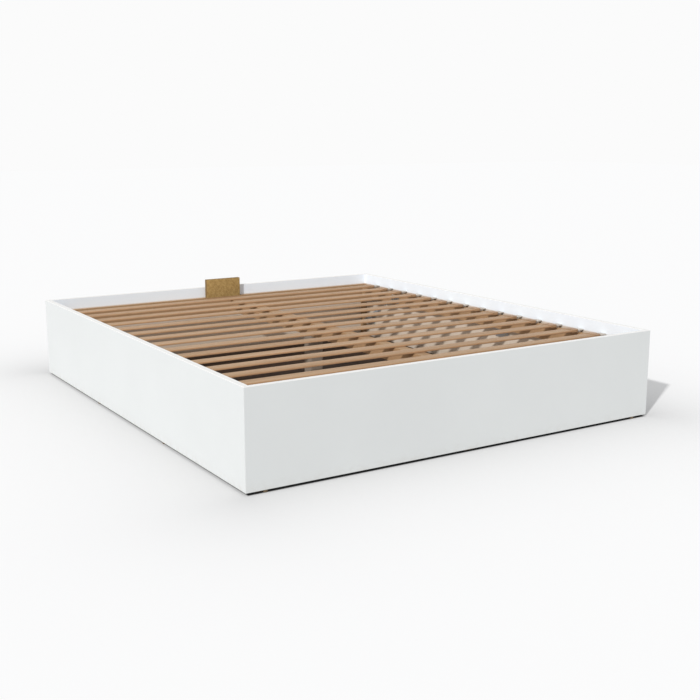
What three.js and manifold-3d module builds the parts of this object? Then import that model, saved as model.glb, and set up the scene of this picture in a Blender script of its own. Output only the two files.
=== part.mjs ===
// Storage bed: a low white box with a slatted base that lifts on two pins at the head end.
// Millimetres, +Z up, +X to the right and +Y from foot to head, seen from the foot.
// The origin is on the floor, under the middle of the box.
import * as THREE from "three";
import { mergeVertices } from "three/addons/utils/BufferGeometryUtils.js";
import Module from "manifold-3d";

const wasm = await Module();
wasm.setup();

// Box panels
const OUTER_WIDTH = 1850;
const OUTER_LENGTH = 2113;
const PANEL_TOP = 362.5;
const FLOOR_GAP = 9;
const SIDE_THICKNESS = 25;
const END_THICKNESS = 19;
const PANEL_ROUND = 1.2;
const CORNER_FLAT = 1.4;
const MITRE_CLEARANCE = 0.2;

// Box floor and what the box stands on
const BOARD_THICKNESS = 6;
const BOARD_CLEARANCE = 0.5;
const STRIP_WIDTH = 44;
const GLIDE_RADIUS = 9;
const GLIDE_INSET = 76;
const SIDE_GLIDE_SHARES = [0.33, 0.67];

// Blocks in the inner corners, and the leg under the centre rail
const BLOCK_SIDE = 26;
const BLOCK_HEIGHT = 190;
const LEG_SIDE = 62;
const LEG_FROM_FOOT = 1160;
const CENTRE_LINE_X = 11.5;

// Ledge along the head panel, and the raw chipboard plate that stands on it
const LEDGE_THICKNESS = 22;
const LEDGE_HEIGHT = 62;
const LEDGE_DEPTH_BELOW_TOP = 54;
const PLATE_WIDTH = 190;
const PLATE_THICKNESS = 22;
const PLATE_TOP = 403.5;
const PLATE_CENTRE_X = 1.9;

// Slats, the pockets at their ends, and the tongues whose feet stand on the side rails
const SLAT_COUNT = 15;
const SLAT_WIDTH = 53;
const SLAT_THICKNESS = 8;
const SLAT_ROUND = 2.4;
const SLAT_DEPTH_BELOW_TOP = 44.7;
const FIRST_SLAT_FROM_FOOT = 102.7;
const LAST_SLAT_FROM_HEAD = 157.3;
const POCKET_LENGTH = 39;
const POCKET_WIDTH = 57;
const POCKET_WALL = 2;
const POCKET_ROUND = 3.2;
const POCKET_CORNER = 14;
const POCKET_CLEARANCE = 1.5;
const TONGUE_WIDTH = 36;
const TONGUE_THICKNESS = 7;
const TONGUE_ROUND = 2;
const TONGUE_CLEARANCE = 1.5;
const HOLDER_FOOT_HEIGHT = 7;
const HOLDER_FOOT_WIDTH = 24;
const HOLDER_FOOT_INSET = 3;

// Frame that carries the slats
const RAIL_THICKNESS = 25;
const SIDE_RAIL_HEIGHT = 65;
const CENTRE_RAIL_WIDTH = 50;
const CENTRE_RAIL_HEIGHT = 60;
const RAIL_CHAMFER = 1.6;
const FRAME_SIDE_CLEARANCE = 11.5;
const FRAME_FOOT_CLEARANCE = 4;
const RAIL_REAR_CLEARANCE = 6;
const HEAD_RAIL_SETBACK = 84;
const HEAD_RAIL_HEIGHT = 26;

// Lift hinge
const PIN_RADIUS = 4;
const PIN_CLEARANCE = 0.3;
const PIN_SHORT = 2;
const PIVOT_BELOW_RAIL_TOP = 12;
const PIVOT_FROM_RAIL_END = 14;
const HINGE_PLATE_THICKNESS = 3;
const HINGE_PLATE_LENGTH = 76;
const HINGE_PLATE_HEIGHT = 84;
const HINGE_PLATE_ABOVE_PIVOT = 11;
const HINGE_PLATE_PAST_PIVOT = 13;

// Gas struts, one on each side
const STRUT_PLANE_FROM_RAIL = 15.4;
const STRUT_TOP_DISTANCE = 320;
const STRUT_TOP_DEPTH = 22.5;
const STRUT_FOOT_DISTANCE = 40;
const STRUT_FOOT_DEPTH = 180;
const EYE_RADIUS = 10;
const EYE_WIDTH = 12;
const EYE_CLEARANCE = 0.3;
const CYLINDER_RADIUS = 9;
const CYLINDER_LENGTH = 168;
const CYLINDER_START = 8;
const ROD_RADIUS = 4;
const ROD_CLEARANCE = 0.3;
const ROD_IN_CYLINDER = 144;
const BORE_SPARE = 8;
const MOUNT_PLATE_THICKNESS = 3;
const MOUNT_PLATE_SIDE = 64;
const BOSS_RADIUS = 10;
const STUD_HEAD_RADIUS = 6.5;
const STUD_HEAD_LENGTH = 3;
const FRAME_MOUNT_LENGTH = 70;
const FRAME_MOUNT_HEIGHT = 44;

// Steel angles that the closed frame rests on
const REST_THICKNESS = 3;
const REST_REACH = 34;
const REST_DROP = 46;
const REST_LENGTH = 90;
const FOOT_REST_SHARE = 0.3;
const SIDE_REST_SHARE = 0.42;

// Facets
const ROUND_SEGMENTS = 3;
const PIN_SEGMENTS = 24;
const TUBE_SEGMENTS = 28;

// Levels and planes that follow from the sizes above
const HALF_WIDTH = OUTER_WIDTH / 2;
const HALF_LENGTH = OUTER_LENGTH / 2;
const INNER_X = HALF_WIDTH - SIDE_THICKNESS;
const FOOT_FACE_Y = -HALF_LENGTH + END_THICKNESS;
const HEAD_FACE_Y = HALF_LENGTH - END_THICKNESS;
const BOARD_TOP = FLOOR_GAP + BOARD_THICKNESS;
const LEDGE_FRONT_Y = HEAD_FACE_Y - LEDGE_THICKNESS;
const LEDGE_TOP = PANEL_TOP - LEDGE_DEPTH_BELOW_TOP;
const SLAT_PITCH = (OUTER_LENGTH - FIRST_SLAT_FROM_FOOT - LAST_SLAT_FROM_HEAD) / (SLAT_COUNT - 1);
const SLAT_TOP = PANEL_TOP - SLAT_DEPTH_BELOW_TOP;
const SLAT_BOTTOM = SLAT_TOP - SLAT_THICKNESS;
const RAIL_TOP = SLAT_BOTTOM - HOLDER_FOOT_HEIGHT;
const RAIL_BOTTOM = RAIL_TOP - SIDE_RAIL_HEIGHT;
const RAIL_OUTER_X = INNER_X - FRAME_SIDE_CLEARANCE;
const RAIL_INNER_X = RAIL_OUTER_X - RAIL_THICKNESS;
const RAIL_FOOT_Y = FOOT_FACE_Y + FRAME_FOOT_CLEARANCE;
const RAIL_HEAD_Y = LEDGE_FRONT_Y - RAIL_REAR_CLEARANCE;
const HEAD_RAIL_REAR_Y = RAIL_HEAD_Y - HEAD_RAIL_SETBACK;
const HEAD_RAIL_FRONT_Y = HEAD_RAIL_REAR_Y - RAIL_THICKNESS;
const FOOT_RAIL_REAR_Y = RAIL_FOOT_Y + RAIL_THICKNESS;
const CENTRE_RAIL_BOTTOM = SLAT_BOTTOM - CENTRE_RAIL_HEIGHT;
const PIVOT_Y = RAIL_HEAD_Y - PIVOT_FROM_RAIL_END;
const PIVOT_Z = RAIL_TOP - PIVOT_BELOW_RAIL_TOP;
const STRUT_X = RAIL_INNER_X - STRUT_PLANE_FROM_RAIL;
const STRUT_TOP = new THREE.Vector2(PIVOT_Y - STRUT_TOP_DISTANCE, PIVOT_Z - STRUT_TOP_DEPTH);
const STRUT_FOOT = new THREE.Vector2(PIVOT_Y - STRUT_FOOT_DISTANCE, PIVOT_Z - STRUT_FOOT_DEPTH);
const STRUT_LENGTH = STRUT_TOP.distanceTo(STRUT_FOOT);
const SIDES = [
  { name: "left", sign: -1 },
  { name: "right", sign: 1 },
];

// Materials
const LACQUER = material(0xf1f1ef, 0.42, 0);
const BEECH = material(0xb89678, 0.55, 0);
const SPRUCE = material(0xb08f6c, 0.65, 0);
const CHIPBOARD = material(0xaa8c55, 0.85, 0);
const HARDBOARD = material(0x4a3324, 0.7, 0);
const POST = material(0x8f857a, 0.6, 0);
const GLIDE = material(0x6b5340, 0.6, 0);
const ZINC = material(0xb4b6b8, 0.35, 0.9);
const GREY_STEEL = material(0x8d9092, 0.4, 0.6);
const CHROME = material(0xd6d8da, 0.12, 1);

function material(color, roughness, metalness) {
  return new THREE.MeshStandardMaterial({ color, roughness, metalness });
}

// Solids and back
function solidOf(geometry) {
  const bare = geometry.clone();
  bare.deleteAttribute("normal");
  bare.deleteAttribute("uv");
  const merged = mergeVertices(bare);
  const vertProperties = new Float32Array(merged.attributes.position.array);
  const triVerts = new Uint32Array(merged.index.array);
  return new wasm.Manifold(new wasm.Mesh({ numProp: 3, vertProperties, triVerts }));
}

function geometryOf(solid) {
  const mesh = solid.getMesh();
  const geometry = new THREE.BufferGeometry();
  geometry.setAttribute("position", new THREE.BufferAttribute(mesh.vertProperties, 3));
  geometry.setIndex(new THREE.BufferAttribute(mesh.triVerts, 1));
  geometry.computeVertexNormals();
  return geometry;
}

function join(first, ...others) {
  return geometryOf(others.reduce((sum, other) => sum.add(solidOf(other)), solidOf(first)));
}

function cut(first, ...others) {
  return geometryOf(others.reduce((rest, other) => rest.subtract(solidOf(other)), solidOf(first)));
}

function common(first, second) {
  return geometryOf(solidOf(first).intersect(solidOf(second)));
}

// A plain block between two corners, given in any order.
function block(xA, xB, yA, yB, zA, zB) {
  const geometry = new THREE.BoxGeometry(Math.abs(xB - xA), Math.abs(yB - yA), Math.abs(zB - zA));
  return geometry.translate((xA + xB) / 2, (yA + yB) / 2, (zA + zB) / 2);
}

// A rectangle with rounded corners, centred on zero.
function roundedRectangle(width, height, radius) {
  const shape = new THREE.Shape();
  const x = width / 2 - radius;
  const y = height / 2 - radius;
  shape.absarc(x, y, radius, 0, Math.PI / 2);
  shape.absarc(-x, y, radius, Math.PI / 2, Math.PI);
  shape.absarc(-x, -y, radius, Math.PI, 1.5 * Math.PI);
  shape.absarc(x, -y, radius, 1.5 * Math.PI, 2 * Math.PI);
  return shape;
}

// A bar along X with rounded long edges: depth along Y, height along Z.
function barAlongX(xA, xB, centreY, centreZ, depth, height, radius, segments) {
  const shape = roundedRectangle(depth, height, radius);
  const options = { depth: Math.abs(xB - xA), bevelEnabled: false, curveSegments: segments };
  const geometry = new THREE.ExtrudeGeometry(shape, options);
  geometry.rotateX(Math.PI / 2).rotateZ(Math.PI / 2);
  return geometry.translate(Math.min(xA, xB), centreY, centreZ);
}

// The same bar along Y: width along X, height along Z.
function barAlongY(yA, yB, centreX, centreZ, width, height, radius, segments) {
  const bar = barAlongX(yA, yB, 0, centreZ, width, height, radius, segments);
  return bar.rotateZ(Math.PI / 2).translate(centreX, 0, 0);
}

// A round bar along X.
function roundAlongX(xA, xB, y, z, radius, segments) {
  const geometry = new THREE.CylinderGeometry(radius, radius, Math.abs(xB - xA), segments);
  return geometry.rotateZ(Math.PI / 2).translate((xA + xB) / 2, y, z);
}

// A round bar along the strut's own line, between two distances from its lower eye.
function roundAlongStrut(x, from, to, radius, segments) {
  const geometry = new THREE.CylinderGeometry(radius, radius, to - from, segments);
  geometry.translate(0, (from + to) / 2, 0);
  const line = STRUT_TOP.clone().sub(STRUT_FOOT);
  geometry.rotateX(Math.atan2(line.y, line.x));
  return geometry.translate(x, STRUT_FOOT.x, STRUT_FOOT.y);
}

// Plan of a mitred panel as seen from above, outer edge first. It is drawn for the foot end.
function mitredPlan(halfLength, thickness, otherThickness) {
  const flat = CORNER_FLAT / (thickness + otherThickness);
  const tip = [otherThickness * flat + MITRE_CLEARANCE, thickness * flat];
  const shape = new THREE.Shape();
  shape.moveTo(-halfLength + CORNER_FLAT, 0);
  shape.lineTo(halfLength - CORNER_FLAT, 0);
  shape.lineTo(halfLength - tip[0], tip[1]);
  shape.lineTo(halfLength - otherThickness - MITRE_CLEARANCE, thickness);
  shape.lineTo(-halfLength + otherThickness + MITRE_CLEARANCE, thickness);
  shape.lineTo(-halfLength + tip[0], tip[1]);
  shape.closePath();
  return shape;
}

// A panel along X whose outer face is in the plane Y = 0.
function mitredPanel(halfLength, thickness, otherThickness) {
  const plan = mitredPlan(halfLength, thickness, otherThickness);
  const options = { depth: PANEL_TOP, bevelEnabled: false };
  const prism = new THREE.ExtrudeGeometry(plan, options);
  const height = PANEL_TOP - FLOOR_GAP;
  const middle = FLOOR_GAP + height / 2;
  const bar = barAlongX(-halfLength, halfLength, thickness / 2, middle, thickness, height, PANEL_ROUND, ROUND_SEGMENTS);
  return common(prism, bar);
}

// The part's group, and the one way to add a node to it
const bed = new THREE.Group();
bed.name = "storage_bed";

function add(name, geometry, nodeMaterial) {
  const mesh = new THREE.Mesh(geometry, nodeMaterial);
  mesh.name = name;
  bed.add(mesh);
}

// The four mitred panels of the box
function addPanels() {
  const foot = mitredPanel(HALF_WIDTH, END_THICKNESS, SIDE_THICKNESS);
  const side = mitredPanel(HALF_LENGTH, SIDE_THICKNESS, END_THICKNESS);
  add("foot_panel", foot.clone().translate(0, -HALF_LENGTH, 0), LACQUER);
  add("head_panel", foot.clone().rotateZ(Math.PI).translate(0, HALF_LENGTH, 0), LACQUER);
  add("left_side_panel", side.clone().rotateZ(-Math.PI / 2).translate(-HALF_WIDTH, 0, 0), LACQUER);
  add("right_side_panel", side.clone().rotateZ(Math.PI / 2).translate(HALF_WIDTH, 0, 0), LACQUER);
}

// Two boards that meet under the centre rail, on three strips
function addBoxFloor() {
  const edgeX = INNER_X - BOARD_CLEARANCE;
  const footY = FOOT_FACE_Y + BOARD_CLEARANCE;
  const headY = HEAD_FACE_Y - BOARD_CLEARANCE;
  for (const { name, sign } of SIDES) {
    const seamX = CENTRE_LINE_X + sign * BOARD_CLEARANCE / 2;
    add("bottom_board_" + name, block(sign * edgeX, seamX, footY, headY, FLOOR_GAP, BOARD_TOP), HARDBOARD);
    const stripX = sign * (INNER_X - STRIP_WIDTH);
    add("floor_strip_" + name, floorStrip(stripX, footY, headY), SPRUCE);
  }
  add("floor_strip_centre", floorStrip(CENTRE_LINE_X, footY, headY), SPRUCE);
}

function floorStrip(x, footY, headY) {
  return block(x - STRIP_WIDTH / 2, x + STRIP_WIDTH / 2, footY, headY, 0, FLOOR_GAP);
}

// Round glides under the panels
function addGlides() {
  const endX = HALF_WIDTH - GLIDE_INSET;
  const endY = HALF_LENGTH - END_THICKNESS / 2;
  const sideX = HALF_WIDTH - SIDE_THICKNESS / 2;
  for (const { name, sign } of SIDES) {
    add("glide_foot_" + name, glide(sign * endX, -endY), GLIDE);
    add("glide_head_" + name, glide(sign * endX, endY), GLIDE);
    SIDE_GLIDE_SHARES.forEach((share, index) => {
      const y = -HALF_LENGTH + share * OUTER_LENGTH;
      add("glide_" + name + "_" + (index + 1), glide(sign * sideX, y), GLIDE);
    });
  }
}

function glide(x, y) {
  const geometry = new THREE.CylinderGeometry(GLIDE_RADIUS, GLIDE_RADIUS, FLOOR_GAP, TUBE_SEGMENTS);
  return geometry.rotateX(Math.PI / 2).translate(x, y, FLOOR_GAP / 2);
}

// Blocks that hold the corners together
function addCornerBlocks() {
  const top = BOARD_TOP + BLOCK_HEIGHT;
  for (const { name, sign } of SIDES) {
    const outer = sign * INNER_X;
    const inner = sign * (INNER_X - BLOCK_SIDE);
    const footBlock = block(outer, inner, FOOT_FACE_Y, FOOT_FACE_Y + BLOCK_SIDE, BOARD_TOP, top);
    const headBlock = block(outer, inner, HEAD_FACE_Y, HEAD_FACE_Y - BLOCK_SIDE, BOARD_TOP, top);
    add("corner_block_foot_" + name, footBlock, SPRUCE);
    add("corner_block_head_" + name, headBlock, SPRUCE);
  }
}

// The leg under the centre rail
function addLeg() {
  const legY = -HALF_LENGTH + LEG_FROM_FOOT;
  const half = LEG_SIDE / 2;
  const leg = block(CENTRE_LINE_X - half, CENTRE_LINE_X + half, legY - half, legY + half, BOARD_TOP, CENTRE_RAIL_BOTTOM);
  add("centre_leg", leg, POST);
}

// The ledge along the head panel, and the plate on it
function addLedgeAndPlate() {
  const ledge = block(-INNER_X, INNER_X, LEDGE_FRONT_Y, HEAD_FACE_Y, LEDGE_TOP - LEDGE_HEIGHT, LEDGE_TOP);
  add("head_ledge", ledge, SPRUCE);
  const left = PLATE_CENTRE_X - PLATE_WIDTH / 2;
  const right = PLATE_CENTRE_X + PLATE_WIDTH / 2;
  add("head_plate", block(left, right, HEAD_FACE_Y - PLATE_THICKNESS, HEAD_FACE_Y, LEDGE_TOP, PLATE_TOP), CHIPBOARD);
}

// The five rails of the lifting frame
function addRails() {
  const middle = (RAIL_TOP + RAIL_BOTTOM) / 2;
  for (const { name, sign } of SIDES) {
    const x = sign * (RAIL_OUTER_X + RAIL_INNER_X) / 2;
    const size = [RAIL_THICKNESS, SIDE_RAIL_HEIGHT, RAIL_CHAMFER, 1];
    const rail = barAlongY(RAIL_FOOT_Y, RAIL_HEAD_Y, x, middle, ...size);
    const past = sign * (RAIL_OUTER_X + RAIL_THICKNESS);
    const bore = roundAlongX(0, past, PIVOT_Y, PIVOT_Z, PIN_RADIUS + PIN_CLEARANCE, PIN_SEGMENTS);
    add("frame_rail_" + name, cut(rail, bore), SPRUCE);
  }
  add("frame_rail_foot", crossRail(RAIL_FOOT_Y, FOOT_RAIL_REAR_Y, SLAT_TOP), SPRUCE);
  const headRailTop = RAIL_BOTTOM + HEAD_RAIL_HEIGHT;
  add("frame_rail_head", crossRail(HEAD_RAIL_FRONT_Y, HEAD_RAIL_REAR_Y, headRailTop), SPRUCE);
  const centreZ = (SLAT_BOTTOM + CENTRE_RAIL_BOTTOM) / 2;
  const size = [CENTRE_RAIL_WIDTH, CENTRE_RAIL_HEIGHT, RAIL_CHAMFER, 1];
  const centre = barAlongY(FOOT_RAIL_REAR_Y, HEAD_RAIL_FRONT_Y, CENTRE_LINE_X, centreZ, ...size);
  add("frame_rail_centre", centre, SPRUCE);
}

// A cross rail between the side rails, from their lower edge up.
function crossRail(yA, yB, top) {
  const height = top - RAIL_BOTTOM;
  const middle = RAIL_BOTTOM + height / 2;
  return barAlongX(-RAIL_INNER_X, RAIL_INNER_X, (yA + yB) / 2, middle, RAIL_THICKNESS, height, RAIL_CHAMFER, 1);
}

// The slats, each with a pocket and a tongue at both ends
function addSlats() {
  for (let index = 0; index < SLAT_COUNT; index += 1) {
    const y = -HALF_LENGTH + FIRST_SLAT_FROM_FOOT + index * SLAT_PITCH;
    add("slat_" + String(index + 1).padStart(2, "0"), slatWithHolders(y), BEECH);
  }
}

function slatWithHolders(y) {
  const middle = (SLAT_TOP + SLAT_BOTTOM) / 2;
  const woodEnd = RAIL_INNER_X - POCKET_CLEARANCE - POCKET_CORNER;
  const slat = barAlongX(-woodEnd, woodEnd, y, middle, SLAT_WIDTH, SLAT_THICKNESS, SLAT_ROUND, ROUND_SEGMENTS);
  return join(slat, ...SIDES.flatMap(({ sign }) => holder(sign, y, middle)));
}

// The pocket round one end of a slat, and the tongue and its foot that carry it.
function holder(sign, y, middle) {
  const end = RAIL_INNER_X - POCKET_CLEARANCE;
  const height = SLAT_THICKNESS + 2 * POCKET_WALL;
  const inner = sign * (end - POCKET_LENGTH);
  const bar = barAlongX(sign * end, inner, y, middle, POCKET_WIDTH, height, POCKET_ROUND, ROUND_SEGMENTS);
  const plan = roundedRectangle(2 * POCKET_LENGTH, POCKET_WIDTH, POCKET_CORNER);
  const prism = new THREE.ExtrudeGeometry(plan, { depth: PANEL_TOP, bevelEnabled: false, curveSegments: ROUND_SEGMENTS });
  const pocket = common(bar, prism.translate(inner, y, 0));
  const tongueEnd = INNER_X - TONGUE_CLEARANCE;
  const tongueSize = [TONGUE_WIDTH, TONGUE_THICKNESS, TONGUE_ROUND, 1];
  const tongue = barAlongX(sign * (end - POCKET_CORNER), sign * tongueEnd, y, middle, ...tongueSize);
  const footA = sign * (RAIL_INNER_X + HOLDER_FOOT_INSET);
  const footB = sign * (RAIL_OUTER_X - HOLDER_FOOT_INSET);
  const foot = block(footA, footB, y - HOLDER_FOOT_WIDTH / 2, y + HOLDER_FOOT_WIDTH / 2, RAIL_TOP, middle);
  return [pocket, tongue, foot];
}

// Hinge plates on the side panels, each with the pin that its side rail turns on
function addHinges() {
  for (const { name, sign } of SIDES) {
    const faceX = sign * (INNER_X - HINGE_PLATE_THICKNESS);
    const plateTop = PIVOT_Z + HINGE_PLATE_ABOVE_PIVOT;
    const plateRear = PIVOT_Y + HINGE_PLATE_PAST_PIVOT;
    const plateFront = plateRear - HINGE_PLATE_LENGTH;
    const plate = block(sign * INNER_X, faceX, plateFront, plateRear, plateTop - HINGE_PLATE_HEIGHT, plateTop);
    const pinEnd = sign * (RAIL_INNER_X + PIN_SHORT);
    const pin = roundAlongX(sign * INNER_X, pinEnd, PIVOT_Y, PIVOT_Z, PIN_RADIUS, PIN_SEGMENTS);
    add("hinge_plate_" + name, join(plate, pin), ZINC);
  }
}

// Gas struts: a cylinder on the box, and a rod that ends at the frame's mount
function addStruts() {
  for (const { name, sign } of SIDES) {
    const x = sign * STRUT_X;
    add("strut_cylinder_" + name, strutCylinder(x), GREY_STEEL);
    add("strut_rod_" + name, strutRod(x), CHROME);
    add("strut_box_mount_" + name, strutBoxMount(sign), ZINC);
    add("strut_frame_mount_" + name, strutFrameMount(sign), ZINC);
  }
}

function eye(x, centre) {
  return roundAlongX(x - EYE_WIDTH / 2, x + EYE_WIDTH / 2, centre.x, centre.y, EYE_RADIUS, TUBE_SEGMENTS);
}

function strutCylinder(x) {
  const end = CYLINDER_START + CYLINDER_LENGTH;
  const barrel = roundAlongStrut(x, CYLINDER_START, end, CYLINDER_RADIUS, TUBE_SEGMENTS);
  const boreStart = end - ROD_IN_CYLINDER - BORE_SPARE;
  const bore = roundAlongStrut(x, boreStart, end + BORE_SPARE, ROD_RADIUS + ROD_CLEARANCE, PIN_SEGMENTS);
  const hole = roundAlongX(x - EYE_WIDTH, x + EYE_WIDTH, STRUT_FOOT.x, STRUT_FOOT.y, PIN_RADIUS + PIN_CLEARANCE, PIN_SEGMENTS);
  const reliefs = SIDES.map(({ sign }) => {
    const near = x + sign * EYE_WIDTH / 2;
    const far = x + sign * EYE_WIDTH;
    return roundAlongX(near, far, STRUT_FOOT.x, STRUT_FOOT.y, EYE_RADIUS + EYE_CLEARANCE, TUBE_SEGMENTS);
  });
  return cut(join(cut(barrel, ...reliefs), eye(x, STRUT_FOOT)), bore, hole);
}

function strutRod(x) {
  const start = CYLINDER_START + CYLINDER_LENGTH - ROD_IN_CYLINDER;
  const rod = roundAlongStrut(x, start, STRUT_LENGTH, ROD_RADIUS, PIN_SEGMENTS);
  return join(rod, eye(x, STRUT_TOP));
}

function strutBoxMount(sign) {
  const half = MOUNT_PLATE_SIDE / 2;
  const { x: y, y: z } = STRUT_FOOT;
  const eyeOuter = STRUT_X + EYE_WIDTH / 2 + EYE_CLEARANCE;
  const eyeInner = STRUT_X - EYE_WIDTH / 2 - EYE_CLEARANCE;
  const plate = block(sign * INNER_X, sign * (INNER_X - MOUNT_PLATE_THICKNESS), y - half, y + half, z - half, z + half);
  const boss = roundAlongX(sign * INNER_X, sign * eyeOuter, y, z, BOSS_RADIUS, TUBE_SEGMENTS);
  const stud = roundAlongX(sign * INNER_X, sign * (eyeInner - STUD_HEAD_LENGTH), y, z, PIN_RADIUS, PIN_SEGMENTS);
  const head = roundAlongX(sign * eyeInner, sign * (eyeInner - STUD_HEAD_LENGTH), y, z, STUD_HEAD_RADIUS, TUBE_SEGMENTS);
  return join(plate, boss, stud, head);
}

function strutFrameMount(sign) {
  const { x: y, y: z } = STRUT_TOP;
  const halfLength = FRAME_MOUNT_LENGTH / 2;
  const halfHeight = FRAME_MOUNT_HEIGHT / 2;
  const faceX = sign * (RAIL_INNER_X - MOUNT_PLATE_THICKNESS);
  const plate = block(sign * RAIL_INNER_X, faceX, y - halfLength, y + halfLength, z - halfHeight, z + halfHeight);
  const bossEnd = sign * (STRUT_X + EYE_WIDTH / 2 + EYE_CLEARANCE);
  return join(plate, roundAlongX(sign * RAIL_INNER_X, bossEnd, y, z, BOSS_RADIUS, TUBE_SEGMENTS));
}

// Steel angles under the closed frame, on the foot panel and on the side panels
function addRests() {
  for (const { name, sign } of SIDES) {
    const footX = sign * FOOT_REST_SHARE * OUTER_WIDTH;
    const footRest = angle().rotateZ(Math.PI).translate(footX, FOOT_FACE_Y, RAIL_BOTTOM);
    add("rest_angle_foot_" + name, footRest, ZINC);
    const sideY = -HALF_LENGTH + SIDE_REST_SHARE * OUTER_LENGTH;
    const sideRest = angle().rotateZ(-sign * Math.PI / 2).translate(sign * INNER_X, sideY, RAIL_BOTTOM);
    add("rest_angle_" + name, sideRest, ZINC);
  }
}

// An angle on a panel whose face is the plane Y = 0, reaching to -Y, with its seat at Z = 0.
function angle() {
  const half = REST_LENGTH / 2;
  const seat = block(-half, half, 0, -REST_REACH, -REST_THICKNESS, 0);
  const back = block(-half, half, 0, -REST_THICKNESS, -REST_DROP, 0);
  return join(seat, back);
}

addPanels();
addBoxFloor();
addGlides();
addCornerBlocks();
addLeg();
addLedgeAndPlate();
addRails();
addSlats();
addHinges();
addStruts();
addRests();

export default bed;
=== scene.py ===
# %% [markdown]
# # Storage bed
# The CAD model gives every solid its place. This script dresses it: it models the small pieces
# that need more shape than the CAD has, mixes a procedural material for each surface, and sets
# the light and the camera. Lengths are metres. +X is right, +Y runs from the foot to the head,
# and +Z is up.

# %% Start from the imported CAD
import math

import bmesh
import bpy
from mathutils import Matrix, Vector


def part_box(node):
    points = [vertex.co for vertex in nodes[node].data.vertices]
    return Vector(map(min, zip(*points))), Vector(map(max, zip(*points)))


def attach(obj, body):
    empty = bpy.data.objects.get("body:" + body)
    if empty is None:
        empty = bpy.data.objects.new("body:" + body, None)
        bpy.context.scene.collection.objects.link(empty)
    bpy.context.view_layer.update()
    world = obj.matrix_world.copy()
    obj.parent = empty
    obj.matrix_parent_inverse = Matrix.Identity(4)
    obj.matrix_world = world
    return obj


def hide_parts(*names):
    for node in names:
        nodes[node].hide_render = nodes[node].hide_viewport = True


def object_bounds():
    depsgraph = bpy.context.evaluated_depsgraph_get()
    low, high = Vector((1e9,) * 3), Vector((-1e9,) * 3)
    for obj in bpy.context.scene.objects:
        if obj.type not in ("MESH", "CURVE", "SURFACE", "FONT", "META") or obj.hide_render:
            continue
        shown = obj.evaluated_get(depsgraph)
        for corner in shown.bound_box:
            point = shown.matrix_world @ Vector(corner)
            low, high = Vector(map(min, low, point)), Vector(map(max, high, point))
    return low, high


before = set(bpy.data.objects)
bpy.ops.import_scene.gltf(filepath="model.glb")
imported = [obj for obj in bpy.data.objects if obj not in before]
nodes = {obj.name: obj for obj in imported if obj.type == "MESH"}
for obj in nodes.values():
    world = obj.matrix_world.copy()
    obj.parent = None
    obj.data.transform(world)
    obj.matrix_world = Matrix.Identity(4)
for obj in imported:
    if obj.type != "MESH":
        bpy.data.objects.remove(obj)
cad_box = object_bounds()
print("CAD nodes:", len(nodes))

# %% [markdown]
# ## Sums on shader sockets
# A shader is a graph of small sums. Wrapping a socket in a class lets the graph be written as a
# formula: `0.2 + noise * 0.5` makes the two nodes and links them. Reflected operators let a
# number stand first.

# %% A socket that can be added, multiplied and mixed
class Value:
    """One output of a shader graph, with the usual signs for sums."""

    def __init__(self, tree, socket):
        self.tree = tree
        self.socket = socket

    def node(self, kind, inputs, output=0, **settings):
        """Adds a node of this kind to the graph, feeds it and returns one of its outputs."""
        made = self.tree.nodes.new(kind)
        for name, setting in settings.items():
            setattr(made, name, setting)
        for key, value in inputs.items():
            self.feed(made.inputs[key], value)
        return Value(self.tree, made.outputs[output])

    def feed(self, socket, value):
        """Links a value to an input, or sets the input to a plain number or colour."""
        if isinstance(value, Value):
            self.tree.links.new(value.socket, socket)
        else:
            socket.default_value = value

    def sum(self, operation, first, second=0.0, third=0.0):
        return self.node("ShaderNodeMath", {0: first, 1: second, 2: third}, operation=operation)

    def __add__(self, other):
        return self.sum("ADD", self, other)

    def __radd__(self, other):
        return self.sum("ADD", other, self)

    def __sub__(self, other):
        return self.sum("SUBTRACT", self, other)

    def __rsub__(self, other):
        return self.sum("SUBTRACT", other, self)

    def __mul__(self, other):
        return self.sum("MULTIPLY", self, other)

    def __pow__(self, other):
        return self.sum("POWER", self, other)

    def size(self):
        return self.sum("ABSOLUTE", self)

    def most(self, other):
        return self.sum("MAXIMUM", self, other)

    def exponent(self):
        return self.sum("EXPONENT", self)

    def step(self, start, end):
        """0 below start, 1 above end, and a smooth rise between them."""
        inputs = {"Value": self, "From Min": start, "From Max": end}
        return self.node("ShaderNodeMapRange", inputs, interpolation_type="SMOOTHSTEP", clamp=True)

    def colours(self, low, high):
        """low where the value is 0 and high where it is 1. Both are colours or other values."""
        made = self.tree.nodes.new("ShaderNodeMix")
        made.data_type = "RGBA"
        self.feed(made.inputs[0], self)
        self.feed(made.inputs[6], low if isinstance(low, Value) else (*low, 1))
        self.feed(made.inputs[7], high if isinstance(high, Value) else (*high, 1))
        return Value(self.tree, made.outputs[2])

    def axis(self, name):
        """One of X, Y and Z of a vector."""
        return self.node("ShaderNodeSeparateXYZ", {0: self}, output="XYZ".index(name))

    def stretched(self, scale):
        """The same vector with each axis scaled: a small share draws the pattern out along it."""
        return self.node("ShaderNodeMapping", {"Vector": self, "Scale": scale})

    def noise(self, scale, detail=3, roughness=0.5, distortion=0):
        """Cloudy noise round 0.5, sampled at this vector."""
        inputs = {
            "Vector": self,
            "Scale": scale,
            "Detail": detail,
            "Roughness": roughness,
            "Distortion": distortion,
        }
        return self.node("ShaderNodeTexNoise", inputs)

    def cells(self, scale, output=0):
        """Distance to the nearest of many scattered points, or with output 1 a colour per cell."""
        return self.node("ShaderNodeTexVoronoi", {"Vector": self, "Scale": scale}, output=output)


# %% [markdown]
# ## One start for every material
# Each recipe begins with the same three things: where a point lies on the object, which way its
# face looks, and a Principled shader to feed. `finish_material` plugs the results in.

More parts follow.
